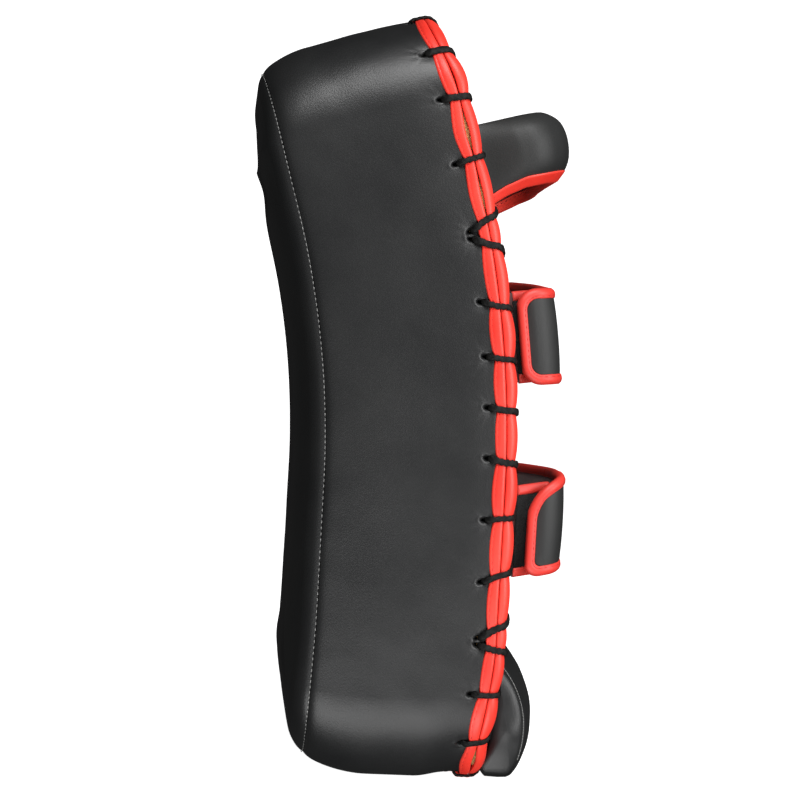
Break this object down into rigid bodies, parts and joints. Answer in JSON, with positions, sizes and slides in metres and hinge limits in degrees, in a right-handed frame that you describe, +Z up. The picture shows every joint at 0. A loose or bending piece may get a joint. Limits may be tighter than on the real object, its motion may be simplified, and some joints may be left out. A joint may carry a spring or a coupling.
{
  "type": "thai pad",
  "caption": "Curved padded kick shield with a laced leather body, a back grip handle, forearm straps with hook-and-loop flaps and an elbow bolster.",
  "frame": {"origin": "on the flat of the lower end, under the body's middle line", "axes": "+Z up the pad, -X towards the strike face, +X towards the arm side, Y across the width"},
  "size_m": [0.1842, 0.2084, 0.401],
  "materials": {
    "black_leather": "semi-matte grained synthetic leather",
    "red_binding": "smooth bright red folded binding",
    "red_lining": "dark red woven lining",
    "strap_lining": "dark red woven lining",
    "lace_cord": "black braided lace",
    "foam": "pale closed-cell foam",
    "hook_fastener": "black hook tape",
    "pile_fastener": "black pile tape"
  },
  "bodies": {
    "pad": {"front_panel": "black_leather", "side_gusset": "black_leather", "back_panel": "black_leather", "gusset_binding": "red_binding", "back_binding": "red_binding", "lace": "lace_cord", "strike_foam": "foam", "core_foam": "foam", "arm_foam": "foam", "handle_cover": "black_leather", "handle_lining": "red_lining", "handle_foam": "foam", "handle_binding": "red_binding", "handle_feet": "black_leather", "bolster_cover": "black_leather", "bolster_end_near": "black_leather", "bolster_end_far": "black_leather", "bolster_foam": "foam", "upper_flap_base": "black_leather", "upper_tab_base": "black_leather", "lower_flap_base": "black_leather", "lower_tab_base": "black_leather"},
    "upper_flap": {"upper_flap_lining": "strap_lining", "upper_flap_cover": "black_leather", "upper_flap_binding": "red_binding"},
    "upper_flap_end": {"upper_tip_lining": "strap_lining", "upper_tip_cover": "black_leather", "upper_tip_binding": "red_binding", "upper_tip_hook": "hook_fastener"},
    "upper_tab": {"upper_tab": "black_leather", "upper_tab_binding": "red_binding", "upper_tab_pile": "pile_fastener"},
    "lower_flap": {"lower_flap_lining": "strap_lining", "lower_flap_cover": "black_leather", "lower_flap_binding": "red_binding"},
    "lower_flap_end": {"lower_tip_lining": "strap_lining", "lower_tip_cover": "black_leather", "lower_tip_binding": "red_binding", "lower_tip_hook": "hook_fastener"},
    "lower_tab": {"lower_tab": "black_leather", "lower_tab_binding": "red_binding", "lower_tab_pile": "pile_fastener"}
  },
  "joints": [
    {"name": "upper_flap_open", "type": "hinge", "parent": "pad", "child": "upper_flap", "pos_m": [0.05214, 0.0848, 0.23341], "axis": [-0.1409, 0, 0.99], "range_deg": [0, 75]},
    {"name": "upper_flap_peel", "type": "hinge", "parent": "upper_flap", "child": "upper_flap_end", "pos_m": [0.07591, -0.066, 0.23679], "axis": [-0.1409, 0, 0.99], "range_deg": [0, 80]},
    {"name": "upper_tab_fold", "type": "hinge", "parent": "pad", "child": "upper_tab", "pos_m": [0.04858, -0.079, 0.2329], "axis": [-0.1409, 0, 0.99], "range_deg": [0, 45]},
    {"name": "lower_flap_open", "type": "hinge", "parent": "pad", "child": "lower_flap", "pos_m": [0.0578, 0.0848, 0.1365], "axis": [0, 0, 1], "range_deg": [0, 75]},
    {"name": "lower_flap_peel", "type": "hinge", "parent": "lower_flap", "child": "lower_flap_end", "pos_m": [0.0818, -0.066, 0.1365], "axis": [0, 0, 1], "range_deg": [0, 80]},
    {"name": "lower_tab_fold", "type": "hinge", "parent": "pad", "child": "lower_tab", "pos_m": [0.0542, -0.079, 0.1365], "axis": [0, 0, 1], "range_deg": [0, 45]}
  ]
}
